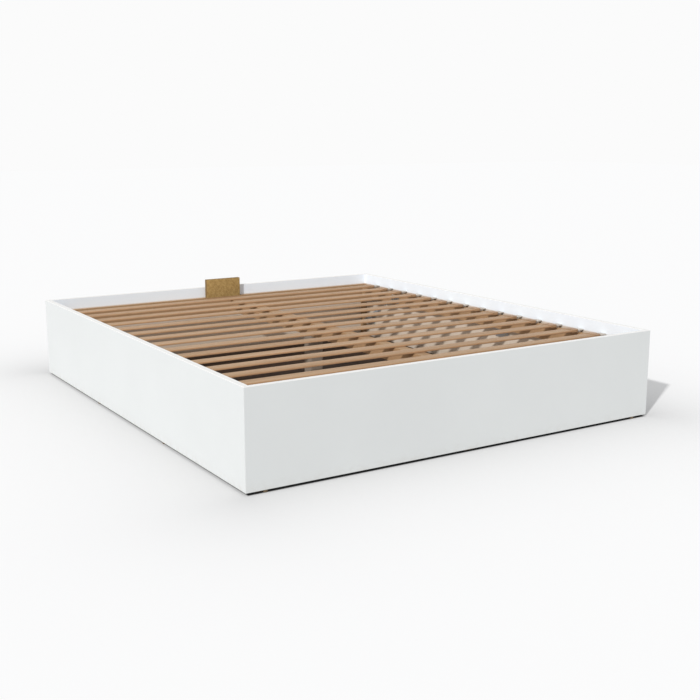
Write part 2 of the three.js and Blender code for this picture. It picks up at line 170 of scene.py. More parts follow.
# %% Start and end of a material
def srgb(red, green, blue):
    """A colour read off a screen, 0 to 255, as the linear numbers that a shader wants."""
    shares = [level / 255 for level in (red, green, blue)]
    return tuple(s / 12.92 if s <= 0.04045 else ((s + 0.055) / 1.055) ** 2.4 for s in shares)


def start_material(name):
    """A new material, the place of a point on its object, and the way its face looks."""
    material = bpy.data.materials.new(name)
    material.use_nodes = True
    tree = material.node_tree
    place = Value(tree, tree.nodes.new("ShaderNodeTexCoord").outputs["Object"])
    facing = Value(tree, tree.nodes.new("ShaderNodeNewGeometry").outputs["True Normal"])
    return material, place, facing


def finish_material(material, colour, roughness, height, depth, **settings):
    """height is a Value and depth the real height of its relief in metres. The settings are
    further inputs of the shader by name, with _ for a space."""
    tree = material.node_tree
    shader = tree.nodes["Principled BSDF"]
    colour.feed(shader.inputs["Base Color"], colour)
    colour.feed(shader.inputs["Roughness"], roughness)
    for name, setting in settings.items():
        shader.inputs[name.replace("_", " ")].default_value = setting
    bump = tree.nodes.new("ShaderNodeBump")
    bump.inputs["Strength"].default_value = 1.0
    bump.inputs["Distance"].default_value = depth
    tree.links.new(height.socket, bump.inputs["Height"])
    tree.links.new(bump.outputs["Normal"], shader.inputs["Normal"])
    return material


def paint(piece, material):
    """Makes this the only material of a piece."""
    piece.data.materials.clear()
    piece.data.materials.append(material)


# %% [markdown]
# ## Wood
# Bare wood is mostly long streaks. Noise that is squeezed across the grain and stretched along it
# gives the streaks, a finer one gives the pores, and slow noise makes one piece lighter than the
# next. Faces that look along the grain show the ends of the fibres, so they turn darker.

# %% Wood recipe
GRAIN_STRETCH = 0.045  # scale of the noise along the grain, which draws its streaks out
PAINTED_SIDE_STREAK = 0.82  # of the painted side tone, for the dark streaks of a side
PORE_SHADE = 0.45  # of the dark tone, at the bottom of a pore


def wood(name, tones, grain_axis, pore_depth, gloss):
    """tones are a light and a dark streak, and a painted tone for faces that don't look up, which
    stands for the different light that falls on the sides."""
    light, dark, side = tones
    material, place, facing = start_material(name)
    squeeze = [1.0, 1.0, 1.0]
    squeeze["XYZ".index(grain_axis)] = GRAIN_STRETCH
    grain_place = place.stretched(tuple(squeeze))
    broad = grain_place.noise(34, detail=4, roughness=0.6, distortion=0.6)
    fine = grain_place.noise(260, detail=3, roughness=0.7)
    pores = grain_place.noise(900, detail=2, roughness=0.6).step(0.56, 0.70)
    slow = place.stretched((0.4, 7.5, 7.5)).noise(1.0, detail=2)
    streaks = (broad * 0.5 + fine * 0.5).step(0.32, 0.68)
    tone = streaks * 0.6 + slow.step(0.3, 0.7) * 0.4
    # Painted light: faces that don't look up get a tone of their own, standing for the light on the
    # sides.
    upward = facing.axis("Z").step(0.35, 0.8)
    body = tone.colours(dark, light)
    sides = tone.colours(tuple(PAINTED_SIDE_STREAK * part for part in side), side)
    end_grain = facing.axis(grain_axis).size().step(0.7, 0.95)
    colour = upward.colours(sides, body)
    colour = (end_grain * 0.55).colours(colour, dark)
    colour = (pores * 0.35).colours(colour, tuple(PORE_SHADE * part for part in dark))
    roughness = gloss + (1 - tone) * 0.12 + pores * 0.1
    height = streaks * 0.5 + fine * 0.3 - pores * 0.6
    return finish_material(material, colour, roughness, height, pore_depth, Specular_IOR_Level=0.28)


# The third tone of each is the painted side tone.
BEECH_TONES = (srgb(193, 160, 126), srgb(162, 129, 96), srgb(199, 157, 119))
RAIL_TONES = (srgb(188, 156, 120), srgb(150, 116, 84), srgb(178, 142, 106))
BLOCK_TONES = (srgb(186, 154, 118), srgb(146, 112, 80), srgb(170, 136, 100))
POST_TONES = (srgb(152, 140, 126), srgb(112, 102, 92), srgb(140, 128, 116))

beech = wood("beech_slat", BEECH_TONES, "X", pore_depth=0.00018, gloss=0.5)
rail_wood = wood("rail_wood", RAIL_TONES, "Y", pore_depth=0.0002, gloss=0.58)
cross_rail_wood = wood("cross_rail_wood", RAIL_TONES, "X", pore_depth=0.0002, gloss=0.58)
upright_wood = wood("upright_wood", BLOCK_TONES, "Z", pore_depth=0.0002, gloss=0.6)
post_wood = wood("post_wood", POST_TONES, "Z", pore_depth=0.00015, gloss=0.55)
print("wood recipes: 5")

# %% [markdown]
# ## White lacquer
# The panels look plain, but a sprayed surface isn't flat: it has a very fine ripple, a slightly
# uneven gloss and some dust low down. The eye reads these as paint and not as plastic.

# %% Lacquer recipe
panel_low, panel_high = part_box("head_panel")
INNER_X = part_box("right_side_panel")[0].x
INNER_Y = panel_low.y
POCKET_WALL = 0.002  # a holder's pocket stands this far above its slat
SLAT_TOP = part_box("slat_01")[1].z - POCKET_WALL
BLEND = 0.001  # how softly one tone turns into the next
PAINTED_HIGHLIGHT_BAND = 0.003  # the rim of the panels that gets a painted highlight
PAINTED_BOUNCE_FADE = (0.012, 0.002)  # the painted warm bounce light ends this far below the slats' top
DUST_HEIGHTS = (0.006, 0.05)  # dust is thickest below the first and ends at the second


def lacquer(name):
    """White lacquer with painted light: warm painted bounce light on the inner faces below the
    slats, painted sky light on the inner faces above them, and a painted highlight on the top rim.
    """
    material, place, _ = start_material(name)
    ripple = place.noise(420, detail=2, roughness=0.4)
    cloud = place.noise(2.2, detail=3)
    specks = place.noise(1400, detail=1).step(0.70, 0.78)
    height_above_floor = place.axis("Z")
    low_down = 1 - height_above_floor.step(*DUST_HEIGHTS)
    dust = low_down * place.noise(38, detail=4).step(0.35, 0.75)
    painted_highlight_top = height_above_floor.step(panel_high.z - PAINTED_HIGHLIGHT_BAND, panel_high.z - BLEND)
    inside_x = 1 - place.axis("X").size().step(INNER_X, INNER_X + BLEND)
    inside_y = 1 - place.axis("Y").size().step(INNER_Y, INNER_Y + BLEND)
    inner_face = inside_x * inside_y
    # One lacquer inside and out: the inner faces are painted lighter and bluer than the outer ones,
    # as painted sky light, and the outer tone is painted a little darker to make up for the light
    # it reflects.
    outer_tone = cloud.step(0.3, 0.7).colours(srgb(231, 233, 232), srgb(234, 236, 235))
    painted_sky_inner_tone = cloud.step(0.3, 0.7).colours(srgb(241, 247, 254), srgb(244, 250, 255))
    # Painted light: the inner faces below the slats are painted tan, standing for warm light
    # bounced inside the storage space.
    painted_bounce_tone = cloud.step(0.3, 0.7).colours(srgb(207, 192, 174), srgb(215, 201, 185))
    painted_bounce_mask = 1 - height_above_floor.step(SLAT_TOP - PAINTED_BOUNCE_FADE[0], SLAT_TOP - PAINTED_BOUNCE_FADE[1])
    colour = inner_face.colours(outer_tone, painted_bounce_mask.colours(painted_sky_inner_tone, painted_bounce_tone))
    # Painted highlight: the top rim is painted lighter, standing for the sun on the panels' top
    # edges.
    colour = (painted_highlight_top * 0.7).colours(colour, srgb(250, 248, 245))
    colour = (dust * 0.3).colours(colour, srgb(214, 210, 202))
    colour = (specks * 0.12).colours(colour, srgb(205, 202, 196))
    roughness = 0.36 + cloud * 0.12 + dust * 0.2 + inner_face * 0.06
    height = ripple + specks * 0.6
    shine = {"Coat_Weight": 0.02, "Coat_Roughness": 0.3, "Specular_IOR_Level": 0.12}
    return finish_material(material, colour, roughness, height, 0.00006, **shine)


white = lacquer("white_lacquer")

# %% [markdown]
# ## Boards
# Chipboard is pressed flakes: cells of different sizes, each with its own shade, and some dark
# specks of bark. Hardboard is a smooth brown board with a faint felt of fibres.

# %% Chipboard and hardboard recipes
def chipboard(name):
    """Pressed flakes of three sizes, with a darker, more even look on the sawn edges."""
    material, place, facing = start_material(name)
    warp = place.noise(60, detail=3)
    flakes = place.stretched((1.0, 1.0, 1.7)).cells(290, output=1).axis("X")
    small = place.stretched((1.6, 1.6, 1.0)).cells(640, output=1).axis("Y")
    slivers = place.stretched((2.6, 2.6, 0.7)).cells(430, output=1).axis("X")
    dark_flakes = place.stretched((1.5, 1.5, 0.6)).cells(360, output=1).axis("Z").step(0.84, 0.92)
    bark = place.noise(620, detail=2).step(0.62, 0.70)
    tone = flakes * 0.25 + small * 0.2 + slivers * 0.2 + warp.step(0.38, 0.62) * 0.35
    colour = tone.colours(srgb(150, 116, 62), srgb(196, 164, 104))
    colour = (dark_flakes * 0.4).colours(colour, srgb(122, 90, 48))
    colour = (bark * 0.7).colours(colour, srgb(84, 58, 30))
    cut_edge = facing.axis("Y").size().step(0.2, 0.6)
    colour = ((1 - cut_edge) * 0.7).colours(colour, srgb(104, 82, 48))
    return finish_material(material, colour, 0.72 + tone * 0.18, tone - bark * 0.5, 0.0004)


def hardboard(name):
    """Brown fibres with slow stains, and some dust where the board looks up."""
    material, place, facing = start_material(name)
    fibres = place.stretched((1, 1.3, 1)).noise(320, detail=5, roughness=0.75)
    stains = place.noise(3.5, detail=4)
    felt = place.stretched((1, 6, 1)).noise(48, detail=4, roughness=0.7)
    dust = place.noise(900, detail=1).step(0.66, 0.74) * facing.axis("Z").step(0.5, 0.9)
    tone = fibres * 0.4 + felt * 0.3 + stains * 0.3
    colour = tone.step(0.38, 0.62).colours(srgb(32, 18, 7), srgb(58, 37, 19))
    colour = (dust * 0.2).colours(colour, srgb(132, 112, 88))
    roughness = 0.55 + fibres * 0.25
    return finish_material(material, colour, roughness, fibres, 0.00015, Specular_IOR_Level=0.3)


raw_chipboard = chipboard("raw_chipboard")
brown_board = hardboard("brown_hardboard")

# %% [markdown]
# ## Plastic and metal
# Moulded plastic has a fine grain from its mould, plated steel a patchwork of crystals and some
# scuffs, and powder coat a pebbled skin. The polished rod is plated steel too, with its two shades
# so close that little of the patchwork shows.

# %% Plastic and metal recipes
def moulded(name, light, dark, gloss):
    """Plastic with the grain of its mould, rubbed smoother on top."""
    material, place, facing = start_material(name)
    mould_grain = place.noise(1600, detail=2, roughness=0.6)
    flow = place.noise(22, detail=3)
    rubbed = facing.axis("Z").step(0.6, 0.95) * place.noise(90, detail=4).step(0.45, 0.7)
    colour = flow.step(0.3, 0.7).colours(dark, light)
    colour = (rubbed * 0.3).colours(colour, tuple(1.15 * part for part in light))
    roughness = gloss + mould_grain * 0.15 - rubbed * 0.1
    return finish_material(material, colour, roughness, mould_grain, 0.00005)


def plated(name, light, dark, gloss, metallic):
    """Plated or polished steel: crystals of slightly different shade, and scuffs along X."""
    material, place, _ = start_material(name)
    crystals = place.cells(130, output=1).axis("X")
    scuffs = place.stretched((1, 9, 9)).noise(160, detail=3).step(0.58, 0.72)
    tone = crystals * 0.6 + place.noise(40, detail=3) * 0.4
    colour = tone.colours(dark, light)
    colour = (scuffs * 0.35).colours(colour, light)
    roughness = gloss + crystals * 0.14 + scuffs * 0.1
    height = tone * 0.4 + scuffs * 0.3
    return finish_material(material, colour, roughness, height, 0.00004, Metallic=metallic)


def powder_coat(name, light, dark):
    """Baked-on powder: a pebbled skin that is worn lighter in places."""
    material, place, _ = start_material(name)
    pebbles = place.cells(1500)
    wear = place.noise(70, detail=5).step(0.62, 0.70)
    colour = place.noise(12, detail=2).colours(dark, light)
    colour = (wear * 0.3).colours(colour, tuple(1.25 * part for part in light))
    roughness = 0.34 + pebbles * 0.2 + wear * 0.15
    return finish_material(material, colour, roughness, pebbles, 0.00005, Coat_Weight=0.2)


pocket_plastic = moulded("pocket_plastic", srgb(176, 140, 106), srgb(150, 116, 84), 0.42)
tongue_plastic = moulded("tongue_plastic", srgb(206, 200, 192), srgb(184, 176, 166), 0.42)
glide_plastic = moulded("glide_plastic", srgb(116, 98, 74), srgb(90, 75, 55), 0.45)
zinc = plated("zinc_plate", srgb(198, 200, 204), srgb(160, 163, 168), 0.28, 0.92)
screw_steel = plated("screw_steel", srgb(206, 200, 180), srgb(168, 160, 138), 0.24, 0.95)
browned_steel = plated("browned_steel", srgb(104, 84, 64), srgb(72, 56, 42), 0.4, 0.9)
rod_chrome = plated("rod_chrome", srgb(226, 228, 230), srgb(206, 208, 212), 0.06, 1.0)
grey_coat = powder_coat("grey_coat", srgb(150, 152, 154), srgb(126, 129, 132))
print("materials:", len(bpy.data.materials))

# %% [markdown]
# ## Dressing the solids
# A node's name says what it is made of, so one function picks its material. Every CAD solid gets
# one, also those that a modelled piece replaces further down, and the wood of each rail runs
# along its own length.

# %% Give every CAD node the material of its slot
def material_of(name):
    """The material that goes with a node's name, zinc where nothing else fits."""
    if name.endswith("_panel"):
        return white
    if name.startswith("bottom_board"):
        return brown_board
    if name.startswith("glide"):
        return glide_plastic
    if name.startswith("slat"):
        return beech
    if name in ("frame_rail_foot", "frame_rail_head", "head_ledge"):
        return cross_rail_wood
    if name.startswith(("frame_rail", "floor_strip")):
        return rail_wood
    if name.startswith("corner_block"):
        return upright_wood
    if name.startswith("strut_cylinder"):
        return grey_coat
    if name.startswith("strut_rod"):
        return rod_chrome
    return {"centre_leg": post_wood, "head_plate": raw_chipboard}.get(name, zinc)


for name, node in nodes.items():
    paint(node, material_of(name))
print("dressed", len(nodes), "CAD nodes")

# %% [markdown]
# ## Tools for modelling
# Every new piece starts as a primitive, is shaped in edit mode and ends with its place stored in
# its mesh, so the object itself stays at the origin. These helpers keep the cells below short.
# The first two add the primitives.

# %% Boxes and round bars
AXES = {"X": Vector((1, 0, 0)), "Y": Vector((0, 1, 0)), "Z": Vector((0, 0, 1))}
ROUND_SIDES = 32


def new_box(name, low, high):
    """A box between two corners."""
    low, high = Vector(low), Vector(high)
    bpy.ops.object.select_all(action="DESELECT")
    bpy.ops.mesh.primitive_cube_add(size=1, location=(low + high) / 2)
    piece = bpy.context.object
    piece.name = name
    piece.scale = high - low
    bpy.ops.object.transform_apply(location=True, rotation=True, scale=True)
    return piece


def put_mesh(piece, place, direction):
    """Turns a piece that was made along +Z to look in a direction, and moves it to its place."""
    turn = AXES["Z"].rotation_difference(Vector(direction)).to_matrix().to_4x4()
    piece.data.transform(Matrix.Translation(place) @ turn)


def new_round(name, centre, radius, length, axis="Z", sides=ROUND_SIDES):
    """A round bar round a centre."""
    bpy.ops.object.select_all(action="DESELECT")
    bpy.ops.mesh.primitive_cylinder_add(vertices=sides, radius=radius, depth=length)
    piece = bpy.context.object
    piece.name = name
    put_mesh(piece, centre, AXES[axis])
    return piece


print("primitives: box, round bar")

# %% [markdown]
# Edit mode changes what is selected. By hand one clicks on faces. Here they are picked by a test,
# such as the way they look, which stays right when a size changes.

# %% Picking faces and edges
LOOKS_ALONG = 0.9  # cosine from which a face counts as looking in a direction
RUNS_ALONG = 0.99  # cosine from which an edge counts as running along one
CORNER_STEPS = 6


def open_edit(piece, kind):
    """Opens edit mode for faces or edges with nothing picked, and returns the mesh to pick from."""
    bpy.ops.object.select_all(action="DESELECT")
    bpy.context.view_layer.objects.active = piece
    piece.select_set(True)
    bpy.ops.object.mode_set(mode="EDIT")
    bpy.ops.mesh.select_mode(type=kind)
    bpy.ops.mesh.select_all(action="DESELECT")
    return bmesh.from_edit_mesh(piece.data)


def pick_faces(piece, direction, both_ways=False):
    """Picks the faces that look in a direction, or with both_ways also those that look back."""
    shape = open_edit(piece, "FACE")
    for face in shape.faces:
        cosine = face.normal.dot(direction)
        face.select = (abs(cosine) if both_ways else cosine) > LOOKS_ALONG
    bmesh.update_edit_mesh(piece.data)


def inset_and_move(rim, move):
    """Insets the picked faces and pushes what is inside the rim."""
    bpy.ops.mesh.inset(thickness=rim)
    bpy.ops.mesh.extrude_region_move(TRANSFORM_OT_translate={"value": move})


def leave_edit():
    bpy.ops.object.mode_set(mode="OBJECT")


def round_edges(piece, wanted, radius):
    """Rounds the edges for which wanted, a test of an edge's two ends, is true."""
    shape = open_edit(piece, "EDGE")
    for edge in shape.edges:
        edge.select = wanted(*(vert.co for vert in edge.verts))
    bmesh.update_edit_mesh(piece.data)
    bpy.ops.mesh.bevel(offset=radius, segments=CORNER_STEPS)
    leave_edit()


print("faces and edges are picked by a test")

# %% [markdown]
# No real edge is perfectly sharp. A small bevel catches the light, and smooth shading hides its
# steps. A finished piece then gets its material and the body that it moves with.

# %% Bevel, join and dress
BROKEN_EDGE = 0.0005  # bevel of sheet metal and turned pieces
BEVEL_ABOVE = 0.6  # radians between two faces, from which their edge is bevelled
SMOOTH_BELOW = math.radians(40)


def bevel(piece, width, segments=2):
    """Bevels every sharp edge and smooths what is left."""
    bpy.ops.object.select_all(action="DESELECT")
    bpy.context.view_layer.objects.active = piece
    piece.select_set(True)
    bpy.ops.object.modifier_add(type="BEVEL")
    modifier = piece.modifiers[-1]
    modifier.width = width
    modifier.segments = segments
    modifier.limit_method = "ANGLE"
    modifier.angle_limit = BEVEL_ABOVE
    bpy.ops.object.modifier_apply(modifier=modifier.name)
    bpy.ops.object.shade_smooth_by_angle(angle=SMOOTH_BELOW)
    return piece


def join(name, pieces):
    """Makes one piece of several. It keeps the materials of them all."""
    bpy.ops.object.select_all(action="DESELECT")
    for piece in pieces:
        piece.select_set(True)
    bpy.context.view_layer.objects.active = pieces[0]
    bpy.ops.object.join()
    pieces[0].name = name
    return pieces[0]


def dress(piece, material, body):
    """Gives a finished piece its material and the body that it moves with."""
    paint(piece, material)
    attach(piece, body)
    return piece


print("finishing: bevel, join, dress")

# %% [markdown]
# Sheet metal is cut with round corners. The four short edges of a box are bevelled with several
# segments, then all its edges are broken a little.

# %% Plates of sheet metal
def new_plate(name, low, high, direction, radius):
    """A sheet-metal plate that looks in a direction, with round corners."""
    plate = new_box(name, low, high)

    def is_corner(start, end):
        return abs((end - start).normalized().dot(direction)) > RUNS_ALONG

    round_edges(plate, is_corner, radius)
    return bevel(plate, BROKEN_EDGE)


print("plates have round corners")

# %% [markdown]
# Pins, studs and tubes are round all along, as if turned on a lathe. A row of rings says how far
# along and how wide, and each ring is extruded from the one before. An eye is a short round bar
# with a hole bridged through it.

# %% Turned pieces and eyes
EYE_EDGE = 0.0008


def new_turned(name, rings, start, direction):
    """Each ring is a distance from the start and a radius, and is extruded from the one before."""
    first_height, first_radius = rings[0]
    bpy.ops.object.select_all(action="DESELECT")
    bpy.ops.mesh.primitive_circle_add(
        vertices=ROUND_SIDES, radius=first_radius, fill_type="NGON", location=(0, 0, first_height)
    )
    piece = bpy.context.object
    piece.name = name
    bpy.ops.object.transform_apply(location=True, rotation=True, scale=True)
    bpy.ops.object.mode_set(mode="EDIT")
    bpy.ops.mesh.select_all(action="SELECT")
    for (height, radius), (next_height, next_radius) in zip(rings, rings[1:]):
        move = (0, 0, next_height - height)
        bpy.ops.mesh.extrude_region_move(TRANSFORM_OT_translate={"value": move})
        ratio = next_radius / radius
        bpy.ops.transform.resize(value=(ratio, ratio, 1), center_override=(0, 0, next_height))
    bpy.ops.mesh.select_all(action="SELECT")
    bpy.ops.mesh.normals_make_consistent(inside=False)
    leave_edit()
    put_mesh(piece, start, direction)
    bpy.ops.object.shade_smooth_by_angle(angle=SMOOTH_BELOW)
    return piece


def new_ring(name, centre, radius, hole, length):
    """A round eye along X: both ends are inset to the hole, and a bridge between them opens it."""
    piece = new_round(name, centre, radius, length, "X")
    pick_faces(piece, AXES["X"], both_ways=True)
    bpy.ops.mesh.inset(thickness=radius - hole)
    bpy.ops.mesh.bridge_edge_loops()
    leave_edit()
    return bevel(piece, EYE_EDGE)


print("turned pieces and eyes")

# %% [markdown]
# ## Slats and their holders
# A slat is a bent-wood strip with rounded long edges. Each end sits in a moulded holder: a
# pocket, open towards the middle of the bed, then a flat tongue over the side rail, with a foot
# that stands on the rail. The CAD has slat and holders as one solid, so its box and the rail's
# give every place here.

# %% Slats with rounded edges
slat_names = sorted(name for name in nodes if name.startswith("slat_"))
rail_low, rail_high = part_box("frame_rail_right")
holder_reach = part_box(slat_names[0])[1].x
POCKET_RIM = POCKET_WALL * 0.98  # the hollow is a hair wider than the slat, so no faces coincide
POCKET_CORNER = 0.014
POCKET_ROUND = 0.0016
POCKET_GAP = 0.0015
POCKET_LENGTH = 0.039
POCKET_END = rail_low.x - POCKET_GAP
POCKET_START = POCKET_END - POCKET_LENGTH
WOOD_END = POCKET_END - POCKET_CORNER
SLAT_ROUND = 0.0024
SLAT_THICKNESS = 0.008
TONGUE_WIDTH = 0.036
TONGUE_THICKNESS = 0.007
TONGUE_ROUND = 0.0012
RIB_HEIGHT = 0.0015
RIB_INSET = 0.008
FOOT_WIDTH = 0.024
FOOT_INSET = 0.003
FOOT_ROUND = 0.001
SAME_PLACE = 0.001  # points closer than this count as level

for name in slat_names:
    low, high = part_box(name)
    top = high.z - POCKET_WALL
    wood_low = (-WOOD_END, low.y + POCKET_WALL, top - SLAT_THICKNESS)
    slat = new_box("wood_" + name, wood_low, (WOOD_END, high.y - POCKET_WALL, top))
    bevel(slat, SLAT_ROUND, 4)
    dress(slat, beech, "lift_frame")
    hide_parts(name)
print("slats:", len(slat_names))

# %% [markdown]
# A pocket starts as a box whose two outer corners are rounded in plan. Its inner end is inset by
# the wall and pushed in, which hollows it. The tongue is a second box with a rib raised down its
# middle, and the foot a third.

# %% One moulded holder for each slat end
def new_pocket(low, high, sign):
    """sign is +1 for the pocket on the right end of its slat."""
    pocket = new_box("pocket", low, high)

    def is_outer_corner(start, end):
        return abs(start.z - end.z) > SAME_PLACE and abs(start.x) > POCKET_END - SAME_PLACE

    round_edges(pocket, is_outer_corner, POCKET_CORNER)
    pick_faces(pocket, Vector((-sign, 0, 0)))
    inset_and_move(POCKET_RIM, (sign * (WOOD_END - POCKET_START), 0, 0))
    leave_edit()
    return bevel(pocket, POCKET_ROUND, 3)


def new_tongue(middle_y, middle_z, sign):
    """The flat end over the side rail, with its top inset and raised to a rib."""
    ends = sorted((sign * (POCKET_END - POCKET_WALL), sign * holder_reach))
    low = (ends[0], middle_y - TONGUE_WIDTH / 2, middle_z - TONGUE_THICKNESS / 2)
    high = (ends[1], middle_y + TONGUE_WIDTH / 2, middle_z + TONGUE_THICKNESS / 2 - RIB_HEIGHT)
    tongue = new_box("tongue", low, high)
    pick_faces(tongue, AXES["Z"])
    inset_and_move(RIB_INSET, (0, 0, RIB_HEIGHT))
    leave_edit()
    return bevel(tongue, TONGUE_ROUND)


for name in slat_names:
    low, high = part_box(name)
    middle_y = (low.y + high.y) / 2
    pocket_low = high.z - SLAT_THICKNESS - 2 * POCKET_WALL
    middle_z = (pocket_low + high.z) / 2
    for side, sign in (("left", -1), ("right", 1)):
        ends = sorted((sign * POCKET_START, sign * POCKET_END))
        pocket = new_pocket((ends[0], low.y, pocket_low), (ends[1], high.y, high.z), sign)
        tongue = new_tongue(middle_y, middle_z, sign)
        ends = sorted((sign * (rail_low.x + FOOT_INSET), sign * (rail_high.x - FOOT_INSET)))
        foot_low = (ends[0], middle_y - FOOT_WIDTH / 2, low.z)
        foot_high = (ends[1], middle_y + FOOT_WIDTH / 2, middle_z)
        foot = bevel(new_box("foot", foot_low, foot_high), FOOT_ROUND)
        paint(pocket, pocket_plastic)
        paint(tongue, tongue_plastic)
        paint(foot, tongue_plastic)
        holder = join("holder_" + side + name[-3:], [pocket, tongue, foot])
        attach(holder, "lift_frame")
print("holders:", 2 * len(slat_names))

# %% [markdown]
# ## Chipboard plate, leg and glides
# These three show in the photo. The plate and the leg get slightly broken edges, as sawn pieces
# have. A glide is a disc with a rounded foot.

# %% Plate, leg and glides
PLATE_EDGE = 0.0007
LEG_EDGE = 0.003
GLIDE_ROUND = 0.0016

sawn = (
    ("head_plate", raw_chipboard, "chipboard", PLATE_EDGE),
    ("centre_leg", post_wood, "post", LEG_EDGE),
)
for name, material, slot, width in sawn:
    low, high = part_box(name)
    piece = bevel(new_box(name + "_shape", low, high), width, 3)
    dress(piece, material, "box")
    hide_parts(name)

for name in sorted(n for n in nodes if n.startswith("glide_")):
    low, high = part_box(name)
    glide = new_round("shape_" + name, (low + high) / 2, (high.x - low.x) / 2, high.z - low.z)
    bevel(glide, GLIDE_ROUND, 3)
    dress(glide, glide_plastic, "box")
    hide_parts(name)
print("plate, leg and glides done")

# %% [markdown]
# ## Screws
# One screw head is modelled once: a low disc with a six-pointed recess. Copies of its mesh are
# then moved into place and joined, so one object holds all the screws of one fitting.

# %% One screw head with a recess
SCREW_RADIUS = 0.0042
SCREW_HEIGHT = 0.0018
SCREW_RIM = 0.0012
RECESS_DEPTH = 0.0011
RECESS_PINCH = 0.62
RECESS_POINTS = 6
CORNERS_PER_POINT = 4


def new_screw():
    """A low round bar whose top is inset twice. Every other pair of corners is drawn in."""
    centre = (0, 0, SCREW_HEIGHT / 2)
    sides = RECESS_POINTS * CORNERS_PER_POINT
    screw = new_round("screw_master", centre, SCREW_RADIUS, SCREW_HEIGHT, sides=sides)
    pick_faces(screw, AXES["Z"])
    bpy.ops.mesh.inset(thickness=SCREW_RIM)
    bpy.ops.mesh.inset(thickness=SCREW_RIM)
    shape = bmesh.from_edit_mesh(screw.data)
    ring = next(face for face in shape.faces if face.select)
    for index, loop in enumerate(ring.loops):
        if index % CORNERS_PER_POINT < CORNERS_PER_POINT / 2:
            loop.vert.co.xy *= RECESS_PINCH
    bmesh.update_edit_mesh(screw.data)
    bpy.ops.mesh.extrude_region_move(TRANSFORM_OT_translate={"value": (0, 0, -RECESS_DEPTH)})
    leave_edit()
    return screw


master_screw = new_screw()


def between(low, high, shares):
    """The places at these shares of the way from low to high."""
    return [low + (high - low) * share for share in shares]


def screws(name, spots, direction, body, metal=screw_steel):
    """Screw heads at these points, standing out in a direction."""
    copies = []
    for spot in spots:
        copy = bpy.data.objects.new(name, master_screw.data.copy())
        bpy.context.collection.objects.link(copy)
        put_mesh(copy, spot, direction)
        copies.append(copy)
    joined = join(name, copies)
    return dress(joined, metal, body)


print("one screw head:", len(master_screw.data.polygons), "faces")

# %% [markdown]
# ## Fittings
# The hinge plates, strut mounts and steel angles are sheet metal with round corners, fixed with
# screws. Their places are worked out from the CAD boxes, so they follow the CAD when it changes.

# %% Hinge plates with their pins
PLATE = 0.003
PIN = 0.004
PIN_FROM_END = 0.013
PIN_FROM_TOP = 0.011
COLLAR_RADIUS = 0.0085
COLLAR_GAP = 0.0006
PIN_TIP = 0.0008
HINGE_CORNER = 0.009
HINGE_SCREW_INSET = 0.013
PIN_ROOM = 0.015


def corners_of(face_x, low, high, inset):
    """Points near the four corners of an upright plate."""
    depths = (low.y + inset, high.y - inset)
    heights = (low.z + inset, high.z - inset)
    return [Vector((face_x, y, z)) for y in depths for z in heights]


def wall_plate(name, wall, face, low, high, radius):
    """An upright plate that reaches along X from a wall to its own face."""
    plate_low = (min(wall, face), low.y, low.z)
    plate_high = (max(wall, face), high.y, high.z)
    return new_plate(name, plate_low, plate_high, AXES["X"], radius)


for side, sign in (("left", -1), ("right", 1)):
    low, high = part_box("hinge_plate_" + side)
    wall, face = sign * INNER_X, sign * (INNER_X - PLATE)
    plate = wall_plate("hinge_sheet", wall, face, low, high, HINGE_CORNER)
    pin_place = Vector((face, high.y - PIN_FROM_END, high.z - PIN_FROM_TOP))
    reach = INNER_X - PLATE - min(abs(low.x), abs(high.x))
    collar = INNER_X - PLATE - rail_high.x - COLLAR_GAP
    rings = [(0, COLLAR_RADIUS), (collar - BROKEN_EDGE, COLLAR_RADIUS)]
    rings += [(collar, COLLAR_RADIUS - BROKEN_EDGE), (collar, PIN)]
    rings += [(reach - PIN_TIP, PIN), (reach, PIN - PIN_TIP)]
    pin = new_turned("hinge_pin", rings, pin_place, (-sign, 0, 0))
    hinge = join("hinge_" + side, [plate, pin])
    dress(hinge, zinc, "box")
    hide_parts("hinge_plate_" + side)
    corners = corners_of(face, low, high, HINGE_SCREW_INSET)
    spots = [spot for spot in corners if (spot - pin_place).length > PIN_ROOM]
    screws("hinge_screws_" + side, spots, (-sign, 0, 0), "box")
print("hinges: 2")

# %% [markdown]
# Each strut is held by two mounts. The one on the box is a plate with a long stud, over which the
# strut's eye slips, and a head keeps it there. The one on the frame has a short boss that ends
# beside the upper eye. Both are turned shapes, so each is a row of rings, extruded one from the
# other.

# %% Strut mounts on the box and on the frame
MOUNT_CORNER = 0.008
MOUNT_SCREW_INSET = 0.01
MOUNT_SCREW_SPREAD = 0.025
BOSS_RADIUS = 0.01
BOSS_FOOT_RADIUS = 0.0105
LONG_BOSS_FOOT = 0.004
SHORT_BOSS_FOOT = 0.002
EYE_WIDTH = 0.012
EYE_GAP = 0.0003
HEAD_RADIUS = 0.0065
HEAD_LENGTH = 0.003
HEAD_EDGE = 0.001
HEAD_TIP_RADIUS = 0.0052

